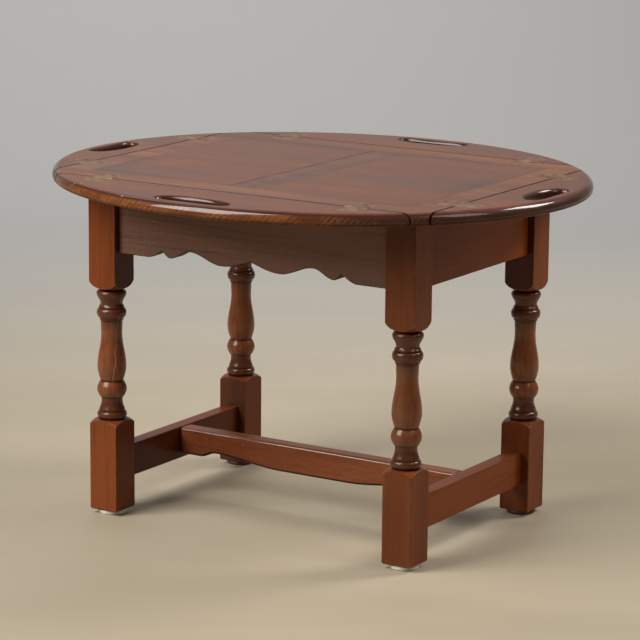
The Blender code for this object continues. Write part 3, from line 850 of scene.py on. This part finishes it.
MATERIALS = {
    # legs: inner sets the painted shade on their inward faces
    "leg": wood("leg_wood_fine", 2, coat=0.16, coat_rough=0.18, worn=True, inner=0.24),
    "apron": wood("apron_wood_fine", 0, APRON_WOOD, (0.36, 0.50), 0.55, flecks=0.55),
    # end rails: painted shade on inward faces, painted light towards the rear and painted shade on top
    "end": wood("end_wood_fine", 1, END_WOOD, coat=0.14, inner=0.55, painted_light_and_shade=True),
    "middle": wood("middle_wood_fine", 0, MIDDLE_WOOD, (0.30, 0.42), 0.8, coat=0.12, arris_coat=1.0, flecks=0.30),
    "inner": wood("inner_wood_fine", 1, BARE_WOOD, (0.6, 0.8)),
    "tray": tray_wood("tray_wood_fine"),
    # front and rear leaves get the paler rim, partly painted light
    "side_leaf": leaf_wood("side_leaf_wood_fine", True),
    "end_leaf": leaf_wood("end_leaf_wood_fine", False),
    "brass": brass("brass_aged", *BRASS),
    "screw": brass("brass_screw", *SCREW_BRASS),
    "steel": steel("steel_plain", *STEEL),
    "pad": pad_plastic("pad_white", *WHITE_PAD),
    "shaded_pad": pad_plastic("pad_white_shaded", *SHADED_PAD),
}


# Stand

def ring_angles():
    """Angles of one ring, closer together near the corners of the square."""
    angles = []
    for quarter in range(4):
        corner = 45 + 90 * quarter
        angles += [corner + offset for offset in RING_OFFSETS]
        angles += [corner + 90 - offset for offset in reversed(RING_OFFSETS[1:])]
    return [math.radians(angle) for angle in angles]


ANGLES = ring_angles()


def square_reach(angle, half, corner):
    """Distance from the middle of a square with rounded corners to its side."""
    x = abs(math.cos(angle))
    y = abs(math.sin(angle))
    inner = half - corner
    longer = max(x, y)
    if half / longer * min(x, y) <= inner:
        return half / longer
    total = inner * (x + y)
    return total + math.sqrt(total ** 2 - (2 * inner ** 2 - corner ** 2))


def polar(reach, z):
    return [(r * math.cos(angle), r * math.sin(angle), z) for r, angle in zip(reach, ANGLES)]


def shoulder_height(neck, arris, corner, reach):
    """Height at which the turned shoulder has this radius."""
    share = min(1.0, max(0.0, (reach - neck[1]) / (corner - neck[1])))
    return neck[0] + (arris - neck[0]) * (1 - math.sqrt(max(0.0, 1 - share ** 2)))


def shoulder_rings(neck, arris, flat):
    """Rings from the neck out to the arched line where the turning meets the square."""
    corner = LEG_HALF * math.sqrt(2) + SHOULDER_SPARE
    rings = []
    for step in range(SHOULDER_STEPS + 1):
        part = step / SHOULDER_STEPS
        ring = []
        for reach, angle in zip(flat, ANGLES):
            r = neck[1] + (reach - neck[1]) * part
            ring.append((r * math.cos(angle), r * math.sin(angle), shoulder_height(neck, arris, corner, r)))
        rings.append(ring)
    return rings


def shifted(ring, rise):
    return [(x, y, z + rise) for x, y, z in ring]


def leg_rings():
    """Rings of a leg going up, each with how much its edge is rubbed."""
    flat = [square_reach(angle, LEG_HALF, LEG_ARRIS) for angle in ANGLES]
    foot = [reach - FOOT_CHAMFER for reach in flat]
    lower = list(reversed(shoulder_rings(LOWER_NECK, LOWER_ARRIS, flat)))
    upper = shoulder_rings(UPPER_NECK, UPPER_ARRIS, flat)
    profile = trace(((*LOWER_NECK, "line"),) + TURNING + ((*UPPER_NECK, "line"),))[1:-1]
    rings = [(polar(foot, LEG_LOW.z), FOOT_WEAR), (polar(flat, LEG_LOW.z + FOOT_CHAMFER), CHAMFER_WEAR)]
    rings += [(polar(flat, z), 0.0) for z in (LEG_LOW.z + 2 * FOOT_CHAMFER, *LOWER_LEVELS)]
    rings += [(shifted(lower[0], -CREASE), 0.0), (lower[0], SHOULDER_WEAR_AND_HIGHLIGHT), (lower[1], BESIDE_WEAR)]
    rings += [(ring, 0.0) for ring in lower[2:]]
    rings += [(polar([radius] * len(ANGLES), z), 0.0) for z, radius in profile]
    rings += [(ring, 0.0) for ring in upper[:-2]]
    rings += [(upper[-2], BESIDE_WEAR), (upper[-1], SHOULDER_WEAR_AND_HIGHLIGHT), (shifted(upper[-1], CREASE), 0.0)]
    rings += [(polar(flat, z), 0.0) for z in (*UPPER_LEVELS, LEG_HIGH.z)]
    return rings


def edge_share(angle):
    """One at a corner of the square and nothing a millimetre or two away."""
    away = abs(math.degrees(angle) % 90 - 45)
    return max(0.0, 1 - away / ARRIS_DEGREES)


def groove_shade_share(z):
    """One at the bottom of a groove between two turned forms and nothing a little way off."""
    return max(max(0.0, 1 - abs(z - groove) / reach) for groove, reach in GROOVE_SHADE)


def add_wear(item, rings):
    """Stores where a leg's edges are rubbed, which on the shoulders also stands for a painted highlight, and
    where its grooves get painted shade.
    """
    wear = item.data.attributes.new("wear", "FLOAT", "POINT")
    groove = item.data.attributes.new("groove", "FLOAT", "POINT")
    index = 0
    for ring, rubbed in rings:
        for (x, y, z), angle in zip(ring, ANGLES):
            square = max(abs(x), abs(y)) > LEG_HALF - LEG_ARRIS
            wear.data[index].value = max(rubbed, ARRIS_WEAR * edge_share(angle) if square else 0.0)
            # painted shade in the grooves of the turning
            groove.data[index].value = groove_shade_share(z) if math.hypot(x, y) < LEG_HALF - LEG_ARRIS else 0.0
            index += 1


def build_legs():
    rings = leg_rings()
    shape = skin([ring for ring, rubbed in rings])
    for face in FACES:
        for end in ENDS:
            middle = middle_of(f"leg_{face}_{end}")
            item = new_object(f"turned_leg_{face}_{end}", shape)
            add_wear(item, rings)
            for vertex in item.data.vertices:
                vertex.co += Vector((middle.x, middle.y, 0))
            smooth(item, LEG_SHARP_ANGLE)
            dress(item, MATERIALS["leg"], "stand", "leg_wood", f"leg_{face}_{end}")


def shaped_rail(stations, half_length, low, high):
    """A rail along X whose lower edge follows the stations, the same both ways from its middle."""
    edge = trace(stations)
    edge.append((half_length, stations[-1][1]))
    mirrored = [(-x, z) for x, z in reversed(edge[1:])]
    height = high[2] - low[2]
    outline = mirrored + edge + [(half_length, height), (-half_length, height)]
    rail = prism(outline, low[1], high[1])
    return [(x, y, z + low[2]) for x, z, y in rail[0]], rail[1]


def build_aprons():
    for face in FACES:
        low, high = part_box(f"apron_{face}")
        item = new_object(f"shaped_apron_{face}", shaped_rail(SCALLOP, LEG_LOW.x - FIT, low, high))
        smooth(item)
        ease_edges(item, APRON_EDGE)
        dress(item, MATERIALS["apron"], "stand", "apron_wood", f"apron_{face}")


def build_middle_stretcher():
    low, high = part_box("stretcher_middle")
    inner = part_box("stretcher_right")[0][0]
    item = new_object("shaped_middle_stretcher", shaped_rail(BELLY, inner - FIT, low, high))
    smooth(item)
    ease_edges(item, MIDDLE_EDGE, MIDDLE_EDGE_STEPS)
    dress(item, MATERIALS["middle"], "stand", "stretcher_wood", "stretcher_middle")


def build_pads():
    for face in FACES:
        for end in ENDS:
            low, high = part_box(f"pad_{face}_{end}")
            middle = middle_of(f"pad_{face}_{end}")
            radius = (high[0] - low[0]) / 2
            rings = []
            for share, z in PAD_PROFILE:
                rings.append([(middle.x + x, middle.y + y, z) for x, y in circle(radius * share, PAD_STEPS)])
            item = new_object(f"floor_pad_{face}_{end}", skin(rings))
            smooth(item, PAD_SHARP_ANGLE)
            # the rear pads get a darker copy of the white pad as painted shade
            finish = MATERIALS["pad"] if face == "front" else MATERIALS["shaded_pad"]
            dress(item, finish, "stand", "pad_plastic", f"pad_{face}_{end}")


# Tray

def oval_ring(inset, z):
    ring = []
    for step in range(OVAL_STEPS):
        angle = 2 * math.pi * step / OVAL_STEPS
        cosine, sine = math.cos(angle), math.sin(angle)
        normal = Vector((cosine / HALF_LENGTH, sine / HALF_WIDTH)).normalized()
        ring.append((HALF_LENGTH * cosine - inset * normal.x, HALF_WIDTH * sine - inset * normal.y, z))
    return ring


def quarter_round(radius):
    """Points of a rounded edge: distance in from the rim, distance from the face."""
    angles = [math.pi / 2 * step / ROUND_STEPS for step in range(ROUND_STEPS + 1)]
    return [(radius * (1 - math.sin(angle)), radius * (1 - math.cos(angle))) for angle in angles]


def oval_board():
    rings = [oval_ring(inset, BOTTOM + rise) for inset, rise in quarter_round(RIM_LOW_ROUND)]
    rings += [oval_ring(inset, TOP - drop) for inset, drop in reversed(quarter_round(RIM_TOP_ROUND))]
    return skin(rings)


def joint_distance(side):
    return JOINT_X if side in ENDS else JOINT_Y


def rim_distance(side):
    return HALF_LENGTH if side in ENDS else HALF_WIDTH


def side_matrix(side):
    """From a side's own frame, with X along its joint and Y outwards, to the table's frame."""
    turn = Matrix.Rotation(math.radians(SIDES[side]), 4, "Z")
    return turn @ Matrix.Translation((0, joint_distance(side), 0))


def hinge_places(side):
    """Frames on the joint at the middle of each hinge of a side."""
    places = []
    for number in (1, 2):
        middle = side_matrix(side).inverted() @ middle_of(f"hinge_{side}_{number}_pin")
        places.append(side_matrix(side) @ Matrix.Translation((middle.x, 0, 0)))
    return places


def slot_outline(length, offset, middle):
    points = []
    for step in range(SLOT_STEPS):
        angle = 2 * math.pi * step / SLOT_STEPS
        lengthwise = math.copysign(abs(math.cos(angle)) ** (2 / SLOT_POWER), math.cos(angle))
        across = math.copysign(abs(math.sin(angle)) ** (2 / SLOT_POWER), math.sin(angle))
        bow = SLOT_BOW * (1 - lengthwise ** 2)
        points.append((lengthwise * (length / 2 + offset), middle - bow + across * (SLOT_WIDTH / 2 + offset)))
    return points


def slot_cutter(side):
    length = END_SLOT_LENGTH if side in ENDS else SIDE_SLOT_LENGTH
    middle = rim_distance(side) - joint_distance(side) - SLOT_RAIL - SLOT_WIDTH / 2
    levels = [(BOTTOM - PAST_FACE, SLOT_ROUND)]
    levels += [(BOTTOM + rise, offset) for offset, rise in quarter_round(SLOT_ROUND)]
    levels += [(TOP + BOTTOM - z, offset) for z, offset in reversed(levels)]
    return skin([[(x, y, z) for x, y in slot_outline(length, offset, middle)] for z, offset in levels])


def plate_outline(start, clearance):
    half = HINGE_WIDTH / 2 + clearance
    reach = HINGE_REACH + clearance
    radius = HINGE_CORNER + clearance
    points = [(-half, start), (half, start)]
    for center, first in (((half - radius, reach - radius), 0), ((radius - half, reach - radius), 90)):
        for step in range(CORNER_STEPS + 1):
            angle = math.radians(first + 90 * step / CORNER_STEPS)
            points.append((center[0] + radius * math.cos(angle), center[1] + radius * math.sin(angle)))
    return points


def recess(outward):
    """Room in a board's top for one hinge plate and for the barrel beside it."""
    room = prism(plate_outline(-PAST_JOINT, FIT), TOP - PLATE_THICK - FIT, TOP + PAST_FACE)
    half = HINGE_WIDTH / 2 + FIT
    notch = box((-half, half), (-PAST_JOINT, NOTCH_REACH), (TOP - NOTCH_DEPTH, TOP + PAST_FACE))
    room = combine(room, notch, "UNION")
    return room if outward else move(room, Matrix.Rotation(math.pi, 4, "Z"))


def joint_lip(side):
    """Strip on the middle board's edge, low in the joint, so that no light comes through."""
    along_rim, across_rim = (HALF_WIDTH, HALF_LENGTH) if side in ENDS else (HALF_LENGTH, HALF_WIDTH)
    half = along_rim * math.sqrt(1 - (joint_distance(side) / across_rim) ** 2) - LIP_END
    across = (-JOINT_HALF - LIP_ROOT, JOINT_HALF - LIP_GAP)
    strip = box((-half, half), across, (BOTTOM + LIP_GAP, TOP - NOTCH_DEPTH - LIP_GAP))
    return move(strip, side_matrix(side))


def build_boards():
    oval = oval_board()
    for side in SIDES:
        sawn = box((-1, 1), (JOINT_HALF, 1), (0, 1))
        leaf = combine(oval, move(sawn, side_matrix(side)), "INTERSECT")
        leaf = combine(leaf, move(slot_cutter(side), side_matrix(side)), "DIFFERENCE")
        rooms = group([move(recess(True), place) for place in hinge_places(side)])
        leaf = combine(leaf, rooms, "DIFFERENCE")
        item = new_object(f"tray_leaf_{side}", leaf)
        smooth(item)
        keep_flat(item)
        finish = MATERIALS["end_leaf" if side in ENDS else "side_leaf"]
        dress(item, finish, f"{side}_leaf", "leaf_wood", f"leaf_{side}")
    panel = combine(oval, box((-PANEL_X, PANEL_X), (-PANEL_Y, PANEL_Y), (0, 1)), "INTERSECT")
    rooms = group([move(recess(False), place) for side in SIDES for place in hinge_places(side)])
    panel = combine(panel, rooms, "DIFFERENCE")
    panel = combine(panel, group([joint_lip(side) for side in SIDES]), "UNION")
    item = new_object("tray_middle_board", panel)
    smooth(item)
    keep_flat(item)
    dress(item, MATERIALS["tray"], "tray", "tray_wood", "tray_board")


def screw_head(turn):
    """A flat screw head: a disc with two raised halves and a slot between them."""
    floor = TOP - SCREW_SLOT_DEPTH
    pieces = [prism(circle(SCREW_HEAD, SCREW_STEPS), TOP - SCREW_DEPTH, floor)]
    start = math.asin(SCREW_SLOT / 2 / SCREW_HEAD)
    steps = SCREW_STEPS // 2
    for half in (0, math.pi):
        angles = [half + start + (math.pi - 2 * start) * step / steps for step in range(steps + 1)]
        outline = [(SCREW_HEAD * math.cos(angle), SCREW_HEAD * math.sin(angle)) for angle in angles]
        pieces.append(prism(outline, floor + SCREW_SPLIT, TOP + SCREW_PROUD))
    return move(group(pieces), Matrix.Rotation(turn, 4, "Z"))


def build_hinge_screws():
    on_panel = []
    for side in SIDES:
        on_leaf = []
        for hinge, place in enumerate(hinge_places(side)):
            for number, (x, y) in enumerate(SCREW_PLACES):
                turn = TURN_BY_NUMBER * number + TURN_BY_HINGE * hinge + math.radians(SIDES[side]) * TURN_BY_SIDE
                on_leaf.append(move(screw_head(turn), place @ Matrix.Translation((x, y, 0))))
                on_panel.append(move(screw_head(turn + TURN_BETWEEN), place @ Matrix.Translation((-x, -y, 0))))
        item = new_object(f"leaf_{side}_screw_heads", group(on_leaf))
        dress(item, MATERIALS["screw"], f"{side}_leaf", "brass")
    item = new_object("tray_screw_heads", group(on_panel))
    dress(item, MATERIALS["screw"], "tray", "brass")


# CAD nodes that stay

def finish_node(name, material, edge):
    item = nodes[name]
    paint(item, MATERIALS[material])
    item.modifiers.new("weld", "WELD").merge_threshold = WELD_REACH
    ease_edges(item, edge)


def finish_nodes():
    for end in ENDS:
        finish_node(f"apron_{end}", "end", APRON_EDGE)
        finish_node(f"stretcher_{end}", "end", STRETCHER_EDGE)
        finish_node(f"tray_batten_{end}", "inner", BLOCK_EDGE)
        for face in FACES:
            finish_node(f"batten_screw_{end}_{face}", "steel", SCREW_EDGE)
            finish_node(f"corner_block_{face}_{end}", "inner", BLOCK_EDGE)
            finish_node(f"corner_screw_{face}_{end}", "steel", SCREW_EDGE)
    for side in SIDES:
        for number in (1, 2):
            finish_node(f"hinge_{side}_{number}_panel_plate", "brass", PLATE_EDGE)
            finish_node(f"hinge_{side}_{number}_leaf_plate", "brass", PLATE_EDGE)
            finish_node(f"hinge_{side}_{number}_pin", "steel", PIN_EDGE)


# Stage

def build_camera():
    data = bpy.data.cameras.new("camera")
    data.lens = CAMERA_LENS
    data.sensor_width = SENSOR_WIDTH
    item = bpy.data.objects.new("camera", data)
    right = CAMERA_RIGHT.normalized()
    back = right.cross(CAMERA_UP).normalized()
    up = back.cross(right)
    turn = Matrix((right, up, back)).transposed().to_4x4()
    item.matrix_world = Matrix.Translation(CAMERA_PLACE) @ turn
    bpy.context.scene.collection.objects.link(item)
    bpy.context.scene.camera = item


def stage_material():
    """Pale paper: warm on the floor, darker to the left as painted shade, greyer up the sweep, and not seen from
    its back.
    """
    graph = Graph("studio_paper")
    place = graph.place()
    x, y = graph.parts(place)[:2]
    mottle = graph.noise(place, (1.2, 3.0, 1.2), 4.0, 0.6)
    floor = graph.mix(graph.span(mottle, 0.35, 0.65), *PAPER_TONES)
    # painted shade: the floor darker towards the left
    floor = graph.mix(graph.span(x, -0.1, -1.0), floor, PAPER_LEFT_SHADE)
    graph.put("Base Color", graph.mix(graph.span(y, 0.2, 2.6), floor, PAPER_BACK))
    graph.put("Roughness", 0.55)
    graph.put("Specular IOR Level", 0.25)
    clear = graph.add("ShaderNodeBsdfTransparent")
    blend = graph.add("ShaderNodeMixShader")
    graph.feed(blend.inputs[0], graph.add("ShaderNodeNewGeometry").outputs["Backfacing"])
    graph.feed(blend.inputs[1], graph.shader.outputs["BSDF"])
    graph.feed(blend.inputs[2], clear.outputs["BSDF"])
    graph.feed(graph.tree.nodes["Material Output"].inputs["Surface"], blend.outputs[0])
    return graph.material


def build_stage():
    """A floor that sweeps up into a backdrop, square to the camera's view."""
    profile = [(-STAGE_HALF, 0.0), (SWEEP_START, 0.0)]
    for step in range(1, SWEEP_STEPS + 1):
        angle = math.pi / 2 * step / SWEEP_STEPS
        profile.append((SWEEP_START + SWEEP_RADIUS * math.sin(angle), SWEEP_RADIUS * (1 - math.cos(angle))))
    profile.append((SWEEP_START + SWEEP_RADIUS, SWEEP_HEIGHT))
    points = []
    for y, z in profile:
        points += [(-STAGE_HALF, y, z), (STAGE_HALF, y, z)]
    faces = [(2 * step, 2 * step + 1, 2 * step + 3, 2 * step + 2) for step in range(len(profile) - 1)]
    item = new_object("studio_sweep", (points, faces))
    item.data.flip_normals()
    item.data.shade_smooth()
    item.data.materials.append(stage_material())
    item.rotation_euler.z = math.radians(SWEEP_TURN)


def area_light(name, place, aim, size, power, color):
    data = bpy.data.lights.new(name, "AREA")
    data.shape = "RECTANGLE"
    data.size = size[0]
    data.size_y = size[1]
    data.energy = power
    data.color = color
    item = bpy.data.objects.new(name, data)
    item.location = place
    item.rotation_euler = (Vector(aim) - Vector(place)).to_track_quat("-Z", "Y").to_euler()
    bpy.context.scene.collection.objects.link(item)


def build_lights():
    for lamp in LAMPS:
        area_light(*lamp)
    world = bpy.data.worlds.new("studio")
    world.use_nodes = True
    background = world.node_tree.nodes["Background"]
    background.inputs["Color"].default_value = WORLD_COLOR
    background.inputs["Strength"].default_value = WORLD_STRENGTH
    bpy.context.scene.world = world
    bpy.context.scene.view_settings.view_transform = "Standard"


build_camera()
build_legs()
build_aprons()
build_middle_stretcher()
build_pads()
build_boards()
build_hinge_screws()
finish_nodes()
build_stage()
build_lights()

bpy.context.view_layer.update()
